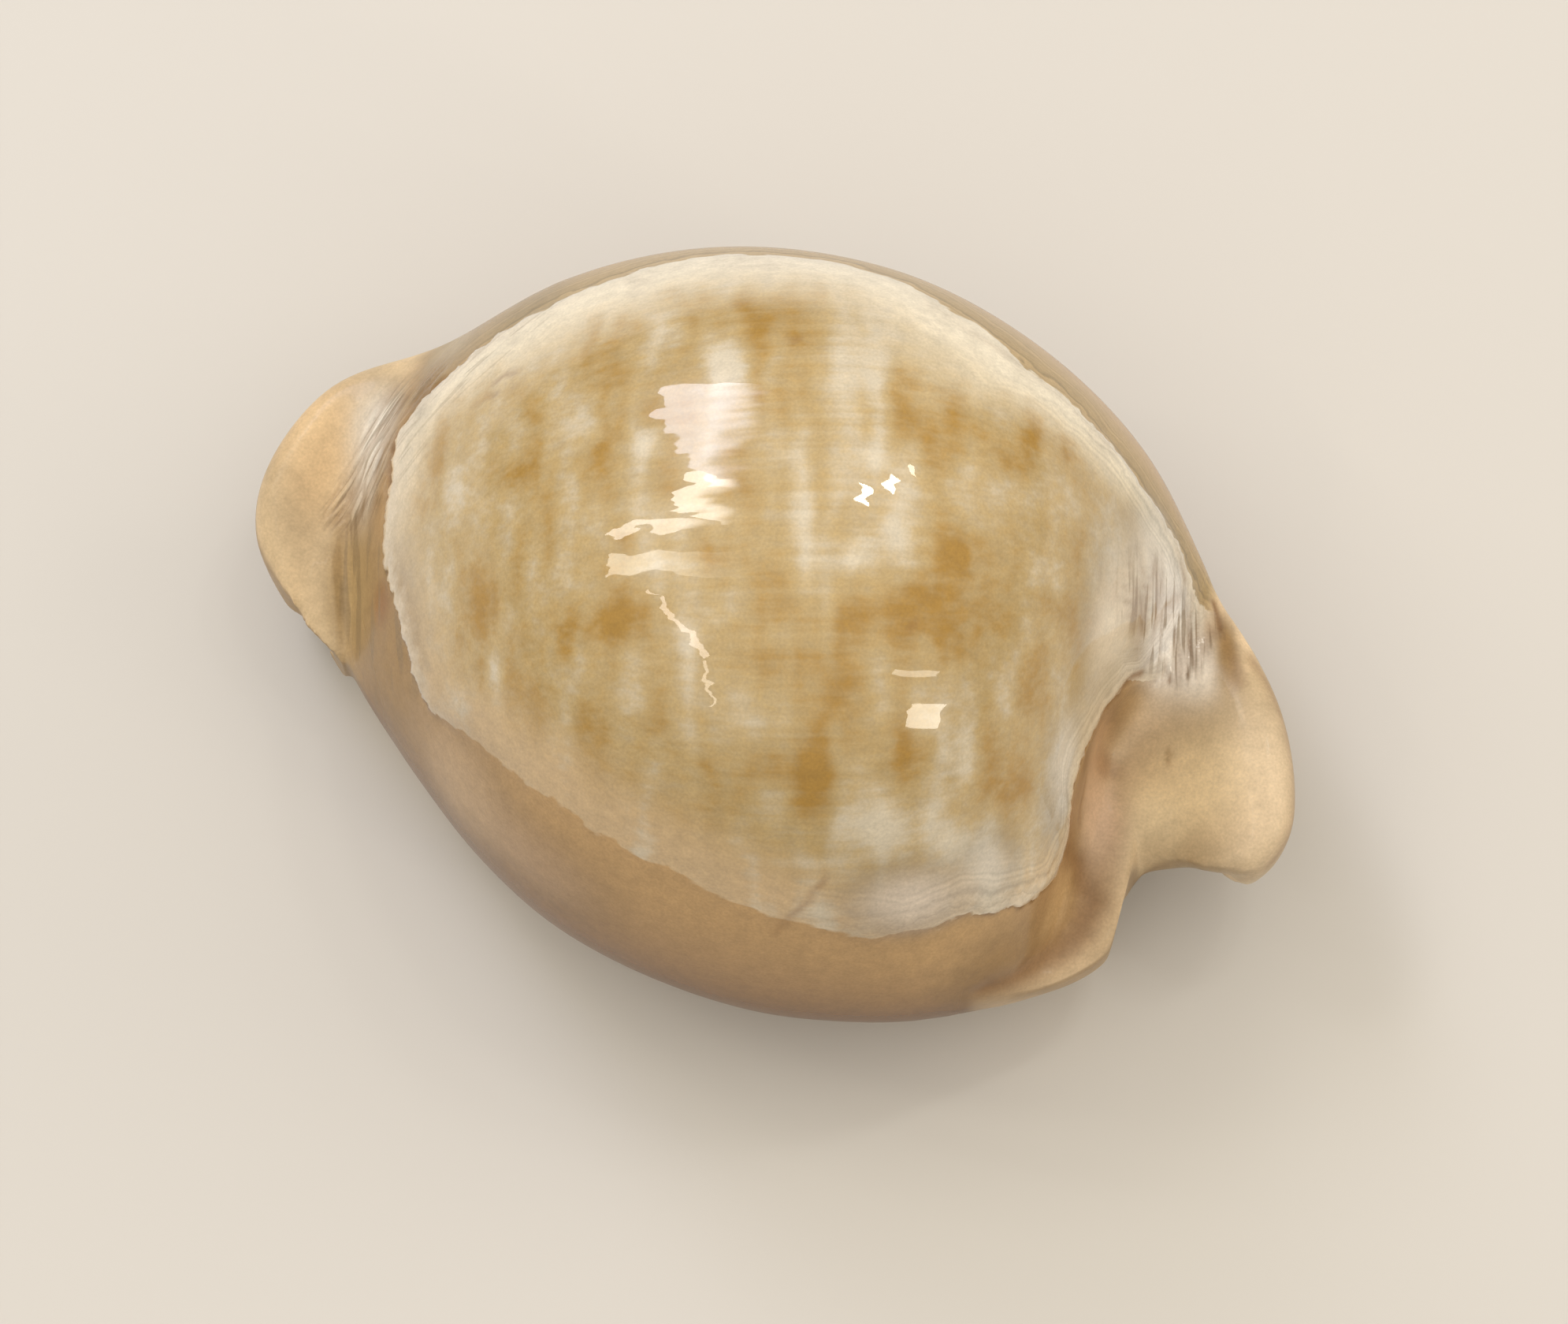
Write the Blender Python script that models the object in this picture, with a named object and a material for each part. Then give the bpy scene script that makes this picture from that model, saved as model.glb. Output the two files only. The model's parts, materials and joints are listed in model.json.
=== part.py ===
"""A cowrie shell of the inflated, beaked kind, lying on its base.

The shell is one thick sheet, as it grew: an outer skin and an inner skin that run from the front (anterior)
canal to the rear (posterior) canal, and are joined along the two toothed lips of the aperture and round the
rims of the two canals.  Both skins are drawn the way a boat's hull is: from a few lines that run the length
of the shell, with a rounded section across them at every station.

+X is the rear end, where the beak and the sunken spire are; +Y is the outer lip's side; +Z is up, away from
the base.  The origin is on the surface that the shell rests on, under the middle of its bounding box.
"""

import math

import bmesh
import bpy
import numpy as np

MM = 0.001

# The lines are drawn in millimetres and then scaled, so that the whole shell has this length.
LENGTH = 95.0 * MM

TOOTH_DEPTH = 0.55
TOOTH_LENGTH = 4.2
LIP_HEIGHT = 4.8
LIP_ROUNDING = 1.1
# How far the base would bulge below the resting surface if it weren't worn flat.
BASE_SINK = 1.3
PIT_PLACE = (30.2, -0.6)
PIT_RADIUS = 3.4
PIT_DEPTH = 2.2

# Exponents of the sections' arcs: 2 is an ellipse, more is squarer.
UNDER_FULLNESS = 2.35
UPPER_FULLNESS = 2.0
INNER_FULLNESS = 2.0

# Rows of faces round a section, on each side.
UNDER_ROWS = 6
UPPER_ROWS = 12
INNER_UNDER_ROWS = 4
INNER_UPPER_ROWS = 5

# Stretches of the shell: (first station, last station, teeth on each lip, columns of faces to a tooth).
STRETCHES = ((0, 6, 5, 5), (6, 14, 20, 3), (14, 20, 5, 5))

# Lines along the shell: (station, x, y, z).  Station 0 is the front canal's rim, station 20 the rear one's.
# Each margin is the widest line on its side, where the back meets the base.
OUTER_MARGIN = (
    (0, -43.7, -10.4, 10.6),
    (1, -47.1, -7.4, 12.0),
    (2, -48.5, -2.7, 13.5),
    (3, -47.7, 3.0, 14.5),
    (4, -45.0, 8.8, 15.0),
    (5, -39.2, 13.2, 15.2),
    (6, -34.3, 16.7, 16.0),
    (7, -27.4, 23.3, 16.5),
    (8, -19.0, 28.1, 17.0),
    (10, 0.0, 31.9, 17.0),
    (12, 18.5, 28.1, 17.0),
    (13, 26.0, 24.3, 16.9),
    (14, 32.3, 18.6, 16.6),
    (15, 35.6, 15.1, 16.6),
    (16, 39.4, 11.9, 17.1),
    (17, 43.6, 7.3, 17.9),
    (18, 46.8, 1.4, 18.3),
    (19, 48.0, -3.9, 18.2),
    (20, 45.8, -6.9, 16.6),
)
INNER_MARGIN = (
    (0, -36.0, -15.0, 11.0),
    (4, -34.5, -15.7, 11.4),
    (5, -33.3, -16.8, 11.7),
    (6, -30.5, -19.1, 12.1),
    (7, -25.0, -23.3, 13.0),
    (8, -18.0, -27.9, 13.7),
    (9, -9.6, -31.6, 14.5),
    (10, 0.0, -33.2, 15.0),
    (11, 9.6, -32.9, 15.0),
    (12, 18.0, -30.7, 14.8),
    (14, 28.8, -24.8, 13.4),
    (15, 31.4, -22.8, 12.8),
    (17, 34.8, -19.6, 12.2),
    (19, 36.5, -16.5, 12.1),
    (20, 35.9, -15.4, 12.2),
)
CREST = (
    (0, -40.2, -13.0, 12.0),
    (1, -39.4, -9.6, 13.6),
    (2, -40.2, -6.2, 14.6),
    (3, -40.6, -2.4, 15.0),
    (4, -40.2, 0.4, 16.2),
    (5, -38.4, 1.4, 20.8),
    (6, -35.0, 1.6, 28.2),
    (7, -28.6, 1.7, 36.6),
    (8, -20.0, 1.8, 43.6),
    (9, -9.6, 1.8, 48.8),
    (10, 2.0, 1.8, 51.0),
    (11, 11.6, 1.6, 49.8),
    (12, 19.4, 1.4, 45.6),
    (13, 25.2, 1.0, 38.2),
    (14, 28.4, 0.6, 29.5),
    (15, 29.4, 0.0, 20.5),
    (16, 30.8, -1.4, 16.8),
    (18, 34.8, -6.0, 15.9),
    (20, 36.2, -8.6, 13.9),
)
OUTER_LIP = (
    (0, -41.6, -10.7, 5.4),
    (2, -40.1, -8.0, 4.4),
    (4, -37.9, -5.0, 3.0),
    (6, -32.5, -0.9, 1.0),
    (8, -18.0, 5.4, 0.0),
    (10, 0.0, 8.2, 0.0),
    (12, 17.5, 7.4, 0.0),
    (14, 29.5, 2.6, 1.0),
    (16, 35.0, -1.5, 3.4),
    (18, 39.0, -4.8, 6.0),
    (20, 42.6, -6.2, 8.8),
)
INNER_LIP = (
    (0, -38.4, -13.1, 5.6),
    (2, -36.7, -10.6, 4.6),
    (4, -34.6, -8.5, 3.0),
    (6, -29.6, -5.4, 1.0),
    (8, -16.5, 0.0, 0.0),
    (10, 0.0, 3.0, 0.0),
    (12, 16.5, 2.4, 0.0),
    (14, 27.4, -2.2, 1.0),
    (16, 31.8, -6.4, 3.0),
    (18, 34.4, -10.2, 5.0),
    (20, 35.6, -13.6, 7.2),
)
CAVITY_OUTER = (
    (0, -41.6, -10.8, 8.2),
    (2, -41.3, -6.8, 8.6),
    (4, -39.6, -0.9, 9.6),
    (5, -36.4, 5.6, 13.0),
    (6, -31.8, 13.0, 15.6),
    (8, -17.8, 25.8, 17.0),
    (10, 0.0, 29.7, 17.2),
    (12, 17.0, 25.8, 17.0),
    (14, 27.8, 15.0, 16.0),
    (15, 31.2, 8.8, 13.6),
    (16, 35.2, 2.6, 12.0),
    (18, 39.8, -2.8, 11.2),
    (20, 43.0, -6.3, 12.2),
)
CAVITY_TOP = (
    (0, -40.0, -12.5, 9.4),
    (2, -39.0, -8.2, 11.0),
    (4, -37.0, -3.6, 12.6),
    (5, -34.8, -0.4, 17.0),
    (6, -31.8, 1.2, 24.0),
    (8, -18.4, 1.8, 40.5),
    (10, 2.0, 1.8, 48.0),
    (12, 17.4, 1.4, 43.0),
    (13, 22.6, 1.0, 36.6),
    (14, 25.6, 0.4, 28.4),
    (15, 26.8, -1.2, 19.0),
    (16, 30.2, -3.8, 13.2),
    (18, 35.0, -7.2, 12.6),
    (20, 37.0, -9.2, 11.2),
)
CAVITY_INNER = (
    (0, -38.2, -13.4, 8.4),
    (2, -36.3, -11.0, 8.8),
    (4, -33.6, -9.6, 9.6),
    (5, -31.0, -11.8, 10.8),
    (6, -27.8, -15.6, 12.6),
    (8, -16.6, -24.3, 15.4),
    (10, 0.0, -29.7, 16.0),
    (12, 16.6, -27.2, 15.6),
    (14, 25.6, -20.4, 14.0),
    (15, 28.0, -16.2, 12.0),
    (16, 30.6, -11.4, 10.4),
    (18, 33.4, -12.2, 9.6),
    (20, 35.5, -13.9, 9.6),
)
# How far the section's edge is a flange with a rounded, raised rim (1) and not the foot of the dome (0), and
# how high that rim stands: (station, outer share, outer rim, inner share, inner rim).
FLANGE = (
    (0, 1.0, 1.6, 1.0, 1.0),
    (3, 1.0, 2.0, 1.0, 1.2),
    (4, 0.85, 2.0, 0.8, 1.2),
    (5, 0.4, 1.6, 0.35, 1.2),
    (6, 0.0, 1.2, 0.1, 1.0),
    (7, 0.0, 1.0, 0.0, 1.0),
    (13, 0.0, 1.0, 0.0, 1.0),
    (14, 0.12, 1.4, 0.1, 1.2),
    (15, 0.6, 2.2, 0.6, 1.6),
    (16, 1.0, 2.6, 1.0, 2.0),
    (20, 1.0, 2.0, 1.0, 1.8),
)


def smooth(knots, at):
    """The values of a smooth curve through knots (station, value, ...), read at the stations `at`."""
    knots = np.array(knots, float)
    where = knots[:, 0]
    values = knots[:, 1:]
    step = np.diff(where)[:, None]
    slope = np.diff(values, axis=0) / step
    inside = (slope[:-1] * step[1:] + slope[1:] * step[:-1]) / (step[1:] + step[:-1])
    tangent = np.vstack((slope[:1], inside, slope[-1:]))
    index = np.clip(np.searchsorted(where, at, side="right") - 1, 0, len(where) - 2)
    span = step[index]
    t = (at - where[index])[:, None] / span
    return (
        values[index] * (1 + 2 * t) * (1 - t) ** 2
        + tangent[index] * span * t * (1 - t) ** 2
        + values[index + 1] * t**2 * (3 - 2 * t)
        + tangent[index + 1] * span * t**2 * (t - 1)
    )


def ease(t):
    t = np.clip(t, 0.0, 1.0)
    return t * t * (3 - 2 * t)


def quarter(rows, fullness):
    """Shares of the way across and of the way up, from an upright foot to a level top."""
    angle = np.linspace(0.0, math.pi / 2, rows + 1)
    across = 1 - np.cos(angle).clip(0.0) ** (2 / fullness)
    up = np.sin(angle) ** (2 / fullness)
    return across[:, None], up


def dome_arc(foot, top, rows, fullness):
    across, up = quarter(rows, fullness)
    points = foot + across * (top - foot)
    points[:, 2] = foot[2] + up * (top[2] - foot[2])
    return points


def flange_arc(foot, top, rows, rim):
    """From the foot over a raised, rounded rim and down to `top`, which lies in a hollow."""
    width = math.hypot(*(top - foot)[:2])
    rim = min(rim, 0.45 * width)
    share = np.linspace(0.0, 1.0, rows + 1)
    turn = 0.3
    distance = np.where(
        share < turn,
        rim * (1 - np.cos(share / turn * math.pi / 2)),
        rim + (width - rim) * np.clip((share - turn) / (1 - turn), 0.0, 1.0) ** 1.15,
    )
    over = np.where(
        distance < rim,
        np.sqrt(np.clip(1 - (1 - distance / rim) ** 2, 0.0, 1.0)),
        1 - ease((distance - rim) / (0.85 * (width - rim))),
    )
    points = foot + (distance / width)[:, None] * (top - foot)
    points[:, 2] = foot[2] + rim * over + ease(distance / width) * (top[2] - foot[2])
    return points


def upper_arc(foot, top, share, rim):
    """From a margin to the crest, with the spire's pit sunk into it."""
    dome = dome_arc(foot, top, UPPER_ROWS, UPPER_FULLNESS)
    flange = flange_arc(foot, top, UPPER_ROWS, rim)
    points = dome + share * (flange - dome)
    from_pit = np.hypot(points[:, 0] - PIT_PLACE[0], points[:, 1] - PIT_PLACE[1])
    points[:, 2] -= PIT_DEPTH * np.exp(-((from_pit / PIT_RADIUS) ** 2))
    return points


def under_arc(foot, tooth_root):
    """From the margin down to the base, which is worn flat where it would sink below the resting surface."""
    sunk = tooth_root - np.array((0.0, 0.0, BASE_SINK))
    points = dome_arc(foot, sunk, UNDER_ROWS, UNDER_FULLNESS)
    points[:, 2] = np.maximum(points[:, 2], tooth_root[2])
    return points


def lip(edge, margin, cavity, groove):
    """Points round one lip, from its tooth's root on the base over the edge and up to the cavity's floor."""
    back = margin - edge
    back[2] = 0.0
    room = np.linalg.norm(back)
    back /= room
    level = np.array((0.0, 0.0, 1.0))
    rounding = min(LIP_ROUNDING, 0.2 * room)
    height = min(LIP_HEIGHT, 0.6 * (cavity[2] - edge[2]))
    cut = TOOTH_DEPTH * groove * min(1.0, room / TOOTH_LENGTH)
    root = edge + back * min(TOOTH_LENGTH, 0.4 * room)
    base = edge + back * (rounding + 0.3 * cut) + level * 0.8 * cut
    corner = edge + back * cut + level * (rounding + 0.5 * cut)
    face = edge + back * 0.7 * cut + level * 0.62 * height
    top = edge + back * 0.4 + level * height
    return root, base, corner, face, top


def section(lines, groove):
    """The points across the shell at one station: the outer skin from lip to lip, and the inner skin back."""
    outer_root, outer_base, outer_corner, outer_face, outer_top = lip(
        lines["outer lip"], lines["outer margin"], lines["cavity outer"], groove
    )
    inner_root, inner_base, inner_corner, inner_face, inner_top = lip(
        lines["inner lip"], lines["inner margin"], lines["cavity inner"], groove
    )
    outer_share, outer_rim, inner_share, inner_rim = lines["flange"]

    outer_skin = [outer_base]
    outer_skin.extend(under_arc(lines["outer margin"], outer_root)[::-1])
    outer_skin.extend(upper_arc(lines["outer margin"], lines["crest"], outer_share, outer_rim)[1:])
    outer_skin.extend(upper_arc(lines["inner margin"], lines["crest"], inner_share, inner_rim)[::-1][1:])
    outer_skin.extend(under_arc(lines["inner margin"], inner_root)[1:])
    outer_skin.append(inner_base)

    inner_skin = [inner_corner, inner_face]
    cavity_inner, cavity_top, cavity_outer = lines["cavity inner"], lines["cavity top"], lines["cavity outer"]
    inner_skin.extend(dome_arc(cavity_inner, inner_top, INNER_UNDER_ROWS, INNER_FULLNESS)[::-1])
    inner_skin.extend(dome_arc(cavity_inner, cavity_top, INNER_UPPER_ROWS, INNER_FULLNESS)[1:])
    inner_skin.extend(dome_arc(cavity_outer, cavity_top, INNER_UPPER_ROWS, INNER_FULLNESS)[::-1][1:])
    inner_skin.extend(dome_arc(cavity_outer, outer_top, INNER_UNDER_ROWS, INNER_FULLNESS)[1:])
    inner_skin.extend((outer_face, outer_corner))
    return np.array(outer_skin), np.array(inner_skin)


def all_sections():
    """Every section's loop, from the front canal's rim to the rear one's, in drawn millimetres."""
    along = [0.0]
    grooves = [0.0]
    for first, last, teeth, columns in STRETCHES:
        for column in range(1, teeth * columns + 1):
            along.append(first + (last - first) * column / (teeth * columns))
            grooves.append(0.5 - 0.5 * math.cos(2 * math.pi * column / columns))
    tables = {
        "outer margin": OUTER_MARGIN,
        "inner margin": INNER_MARGIN,
        "crest": CREST,
        "outer lip": OUTER_LIP,
        "inner lip": INNER_LIP,
        "cavity outer": CAVITY_OUTER,
        "cavity top": CAVITY_TOP,
        "cavity inner": CAVITY_INNER,
        "flange": FLANGE,
    }
    curves = {name: smooth(table, np.array(along)) for name, table in tables.items()}
    for name in ("outer lip", "inner lip"):
        curves[name][:, 2] = np.maximum(curves[name][:, 2], 0.0)
    loops = []
    for column, groove in enumerate(grooves):
        outer_skin, inner_skin = section({name: curve[column] for name, curve in curves.items()}, groove)
        loops.append(np.vstack((outer_skin, inner_skin)))
    return np.array(loops), len(outer_skin)


def end_verts(bm, loop):
    """The open end's verts, in the order of the section's points."""
    edge = [vert for vert in bm.verts if vert.is_boundary]
    places = np.array([vert.co for vert in edge])
    return [edge[np.linalg.norm(places - point, axis=1).argmin()] for point in loop]


def close_rim(bm, verts, outer_rows):
    """Joins the outer skin to the inner one across the wall's thickness, two outer rows to each inner row."""
    last = len(verts) - 1
    first_top = outer_rows + 2
    last_top = last - 2
    bm.faces.new((verts[last], verts[0], verts[1], verts[last_top], verts[last - 1]))
    bm.faces.new(verts[outer_rows - 2 : first_top + 1])
    for step in range(last_top - first_top):
        outer = 1 + 2 * step
        inner = last_top - step
        bm.faces.new((*verts[outer : outer + 3], verts[inner - 1], verts[inner]))


def shell_mesh():
    loops, outer_rows = all_sections()
    columns = len(loops) - 1
    rows = loops.shape[1]
    low = loops.min(axis=(0, 1))
    high = loops.max(axis=(0, 1))
    loops -= ((low[0] + high[0]) / 2, (low[1] + high[1]) / 2, low[2])
    loops *= LENGTH / (high[0] - low[0])

    bm = bmesh.new()
    bmesh.ops.create_grid(bm, x_segments=rows, y_segments=columns, size=1.0)
    bm.verts.ensure_lookup_table()
    place = {}
    for index, vert in enumerate(bm.verts):
        column, row = divmod(index, rows + 1)
        vert.co = loops[column][row % rows]
        place[vert] = (column, row)

    # The teeth need every column; the rest of the skins is plain enough for every other one.
    toothed = {0, 1, rows - 3, rows - 2, rows - 1, rows}
    toothed.update(range(outer_rows - 2, outer_rows + 3))
    spare = []
    for edge in bm.edges:
        (first_column, first_row), (last_column, last_row) = (place[vert] for vert in edge.verts)
        if first_column == last_column and first_column % 2 and not {first_row, last_row} <= toothed:
            spare.append(edge)
    bmesh.ops.dissolve_edges(bm, edges=spare, use_verts=True)
    bmesh.ops.remove_doubles(bm, verts=bm.verts, dist=0.001 * MM)
    close_rim(bm, end_verts(bm, loops[0]), outer_rows)
    close_rim(bm, end_verts(bm, loops[-1]), outer_rows)
    bmesh.ops.recalc_face_normals(bm, faces=bm.faces)
    mesh = bpy.data.meshes.new("shell")
    bm.to_mesh(mesh)
    bm.free()
    return mesh


def glazed_shell():
    material = bpy.data.materials.new("glazed shell")
    material.use_nodes = True
    surface = material.node_tree.nodes["Principled BSDF"]
    surface.inputs["Base Color"].default_value = (0.52, 0.38, 0.19, 1.0)
    surface.inputs["Roughness"].default_value = 0.18
    surface.inputs["Metallic"].default_value = 0.0
    surface.inputs["Coat Weight"].default_value = 0.6
    return material


def main():
    for old in list(bpy.data.objects):
        bpy.data.objects.remove(old, do_unlink=True)
    mesh = shell_mesh()
    mesh.materials.append(glazed_shell())
    mesh.shade_smooth()
    mesh.set_sharp_from_angle(angle=math.radians(50.0))
    shell = bpy.data.objects.new("shell", mesh)
    bpy.context.scene.collection.objects.link(shell)


main()
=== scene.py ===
"""The looks of a cowrie shell: its glazed surface, the wrinkles where its ends join the dome, and a studio.

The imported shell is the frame. Its copy is refined and modelled here, and is then shown in its place. The
shell's tables and spans are in millimetres, and the studio is in metres. +X is the shell's rear end, +Y the
side of its outer lip, and +Z is up.
"""

import json
import math

import bmesh
import bpy
import numpy as np
from mathutils import Matrix, Vector, noise

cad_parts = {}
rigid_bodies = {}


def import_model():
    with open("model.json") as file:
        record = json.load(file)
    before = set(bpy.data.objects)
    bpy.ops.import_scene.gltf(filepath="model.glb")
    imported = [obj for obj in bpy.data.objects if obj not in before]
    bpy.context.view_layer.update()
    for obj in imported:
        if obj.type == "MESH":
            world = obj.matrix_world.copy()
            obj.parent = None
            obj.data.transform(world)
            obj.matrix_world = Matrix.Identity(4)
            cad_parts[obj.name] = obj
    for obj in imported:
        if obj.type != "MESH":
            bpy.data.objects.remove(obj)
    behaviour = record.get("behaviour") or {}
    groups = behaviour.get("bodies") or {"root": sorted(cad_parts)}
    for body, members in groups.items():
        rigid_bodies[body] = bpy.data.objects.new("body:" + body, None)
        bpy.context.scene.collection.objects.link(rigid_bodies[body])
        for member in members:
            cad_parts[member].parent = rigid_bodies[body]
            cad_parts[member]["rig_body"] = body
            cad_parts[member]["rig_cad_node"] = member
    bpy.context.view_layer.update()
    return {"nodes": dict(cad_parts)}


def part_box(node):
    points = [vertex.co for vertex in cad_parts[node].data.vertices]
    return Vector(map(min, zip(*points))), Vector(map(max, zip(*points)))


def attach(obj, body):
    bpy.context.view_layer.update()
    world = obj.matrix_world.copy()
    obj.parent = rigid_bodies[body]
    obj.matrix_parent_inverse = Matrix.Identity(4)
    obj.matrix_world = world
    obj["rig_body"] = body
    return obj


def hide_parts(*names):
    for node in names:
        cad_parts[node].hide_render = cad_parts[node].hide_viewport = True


bl_info = {
    "name": "Cowrie Shell Looks",
    "version": (1, 0, 0),
    "blender": (4, 5, 0),
    "location": "3D View > Sidebar > Cowrie",
    "description": "Models the glazed surface of a cowrie shell around its packed solid",
    "category": "Object",
}

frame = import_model()

MM = 0.001
CREST_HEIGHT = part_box("shell")[1].z

# The last coat of enamel ends in an edge round the dome: (direction from the dome's axis in degrees, height).
COAT_EDGE = (
    (0, 25.2), (5, 22.8), (12.5, 21.5), (15, 18.0), (24, 18.0), (31, 24.5), (38, 31.0), (46, 36.0),
    (58, 40.3), (75, 40.5), (95, 38.0), (120, 35.8), (140, 34.5), (153, 32.4), (164, 29.7), (170, 27.0),
    (180, 26.0), (188, 24.4), (200, 26.1), (216, 26.0), (225, 30.0), (245, 33.7), (275, 34.1), (293, 32.0),
    (306, 29.6), (323, 28.0), (330, 24.6), (338, 20.3), (344, 19.9), (349, 25.6), (353, 26.6), (360, 25.2),
)
DOME_AXIS = (0.0, -2.0)

# The mantle stroked the enamel on along this line, 20 degrees off the shell's length as seen from above.
STROKE = (0.94, 0.342, 0.0)
STROKE_TURN = math.atan2(STROKE[1], STROKE[0])

# The marks that show most on the back, seen from above, longest across the strokes where the mantle's edge
# stood still: (x, y, half width along the strokes, half width across them, weight). They are brown above 0
# and pale below.
MARKS = (
    (-22.3, -1.5, 2.2, 1.8, 0.6), (-15.4, 0.0, 2.2, 2.8, 0.8), (-8.1, -0.9, 2.0, 2.0, 0.5),
    (-21.2, -11.8, 1.2, 4.0, 0.7), (-15.8, -8.7, 0.9, 2.8, 0.6), (-9.1, -12.5, 3.4, 1.8, 1.0),
    (-2.1, 7.3, 1.0, 1.3, 0.5), (4.1, -7.5, 3.8, 1.6, 0.4), (7.6, 12.1, 3.0, 2.6, 0.1),
    (16.4, 15.5, 1.2, 2.2, 0.5), (15.0, 2.0, 2.8, 2.0, 0.9), (12.9, -4.1, 4.6, 2.9, 1.0),
    (22.9, 2.5, 1.3, 1.2, 0.9), (18.0, -5.1, 1.6, 1.4, 0.6), (-13.0, -21.1, 1.1, 2.4, 0.6),
    (-7.4, -22.4, 1.8, 3.0, 0.7), (5.5, -19.3, 1.6, 1.3, 0.4), (9.8, -18.2, 1.8, 3.8, 1.3),
    (9.9, -12.4, 1.8, 2.2, 0.6), (17.3, -13.8, 1.8, 1.8, 0.5), (22.6, -10.5, 1.0, 3.0, 0.6),
    (25.9, -10.7, 0.8, 1.3, 0.7), (23.6, -1.2, 0.7, 1.8, 0.6),
    (-11.9, 2.4, 2.0, 1.6, -1.0), (-8.0, 10.2, 1.6, 2.4, -1.0), (-11.6, -3.8, 1.4, 1.2, -0.6),
    (-17.6, -8.9, 0.8, 2.2, -0.6), (14.4, 14.9, 1.6, 2.2, -0.7), (17.4, 9.0, 2.8, 1.2, -0.6),
    (7.6, -1.5, 1.0, 1.6, -1.0), (5.7, 6.1, 2.0, 1.6, -0.5), (-18.0, -17.0, 0.9, 2.8, -0.9),
    (-11.0, -19.1, 1.1, 2.2, -0.6), (6.1, -15.7, 2.4, 2.0, -0.8), (20.3, -11.7, 1.2, 2.2, -0.8),
    (24.4, -6.6, 0.9, 2.0, -0.6), (15.4, -19.9, 4.0, 1.8, -0.9), (23.0, -17.4, 4.0, 1.8, -0.9),
    (4.7, 18.0, 4.0, 2.6, -0.8), (-18.1, 9.3, 2.6, 2.2, -0.5),
)

# Local colours, most of them at the two ends, with painted shade and painted light among them: (centre, half
# widths along the strokes, across them and upwards, colour, strength).
STAINS_LIGHT_AND_SHADE = {
    "front_peach": ((-43.5, 3.0, 14.0), (5.0, 9.0, 9.0), "#E4C496", 0.9),
    "front_glaze_low": ((-37.4, -1.4, 17.5), (2.0, 3.4, 5.0), "#D8CCB9", 0.85),
    "front_glaze": ((-38.0, 3.8, 19.5), (2.9, 6.2, 9.0), "#EAE4D8", 0.95),
    "front_top": ((-34.5, 13.0, 22.0), (3.0, 5.0, 10.0), "#B5A27C", 0.8),
    "front_strip": ((-28.5, 16.5, 28.0), (4.0, 9.0, 6.0), "#9A865C", 0.35),
    "front_band": ((-35.5, -8.5, 15.0), (3.4, 6.5, 9.0), "#BDA170", 0.8),
    # Painted shade, brown, between the front glaze and the coat's edge.
    "front_edge_shade": ((-34.0, 7.0, 26.0), (1.6, 6.0, 4.0), "#8F6F3C", 0.75),
    "front_side": ((-29.0, -14.0, 22.0), (4.0, 8.0, 9.0), "#A17F4C", 0.85),
    "flank_pale": ((-19.5, -24.0, 23.0), (8.0, 7.0, 8.0), "#E4C6A2", 0.65),
    "flank_rosy": ((-9.5, -28.0, 24.5), (8.0, 5.0, 6.0), "#EBCAAA", 0.45),
    "front_spot": ((-31.8, -11.0, 22.8), (1.3, 2.0, 3.5), "#8C5F2C", 0.9),
    # Whitish glaze on the rear shoulder, painted brighter than it is as painted light from the right.
    "rear_shoulder_glaze_and_light": ((27.5, 6.0, 31.5), (4.0, 8.0, 7.0), "#FFF4E0", 0.77),
    "rear_chalk": ((27.8, -7.0, 29.0), (2.0, 6.5, 6.0), "#E0DAD0", 0.8),
    "side_chalk": ((29.0, 13.5, 28.0), (3.2, 5.0, 7.0), "#EAE3D6", 0.75),
    "low_pale": ((19.5, -22.5, 32.0), (5.5, 3.0, 5.0), "#E6DACC", 0.8),
    "low_chalk": ((24.5, -17.5, 30.0), (3.4, 3.2, 5.0), "#E0D6C6", 0.75),
    "rear_glaze": ((32.2, 9.5, 22.0), (3.6, 5.8, 7.5), "#FBF8F4", 0.95),
    "beak_root": ((35.8, 8.2, 19.0), (2.4, 3.4, 4.0), "#F6EEE2", 0.85),
    "rear_olive": ((37.3, 10.2, 19.0), (1.1, 4.4, 4.5), "#9A7A44", 0.95),
    "beak_pale": ((44.0, -1.0, 20.0), (5.0, 10.0, 9.0), "#E6CFAE", 0.85),
    # Painted light on the beak's tip, which faces down and lies in shade.
    "beak_tip": ((44.0, -7.0, 10.0), (4.2, 3.4, 6.0), "#F6E0BE", 0.9),
    # Painted shade on the notch's rim where it curves away.
    "notch_rim_shade": ((39.3, -8.2, 12.0), (4.5, 1.0, 3.5), "#8A6E4A", 0.85),
    # Painted lighter than the hollow's enamel, as painted light that lifts its shade.
    "hollow_gold": ((37.0, -1.5, 17.0), (6.0, 6.0, 8.0), "#F4DDB2", 0.9),
    "hollow_wall": ((30.0, -2.0, 18.5), (2.2, 7.0, 4.5), "#C9A37C", 0.8),
    "hollow_pink": ((32.0, -7.0, 15.5), (2.2, 5.0, 6.0), "#CDAE92", 0.8),
    # Painted shade in the crease at the bottom of the hollow.
    "hollow_crease_shade": ((30.8, -1.4, 15.8), (1.6, 1.3, 3.0), "#9A7450", 0.6),
    "hollow_speck": ((35.4, 0.8, 16.5), (0.3, 0.9, 3.0), "#8A6538", 0.5),
    "lobe_tan": ((35.2, -14.5, 14.5), (3.0, 6.0, 4.0), "#B5966A", 0.4),
    "lobe_gold": ((29.0, -22.0, 18.0), (6.0, 5.0, 7.0), "#94703E", 0.6),
}
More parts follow.
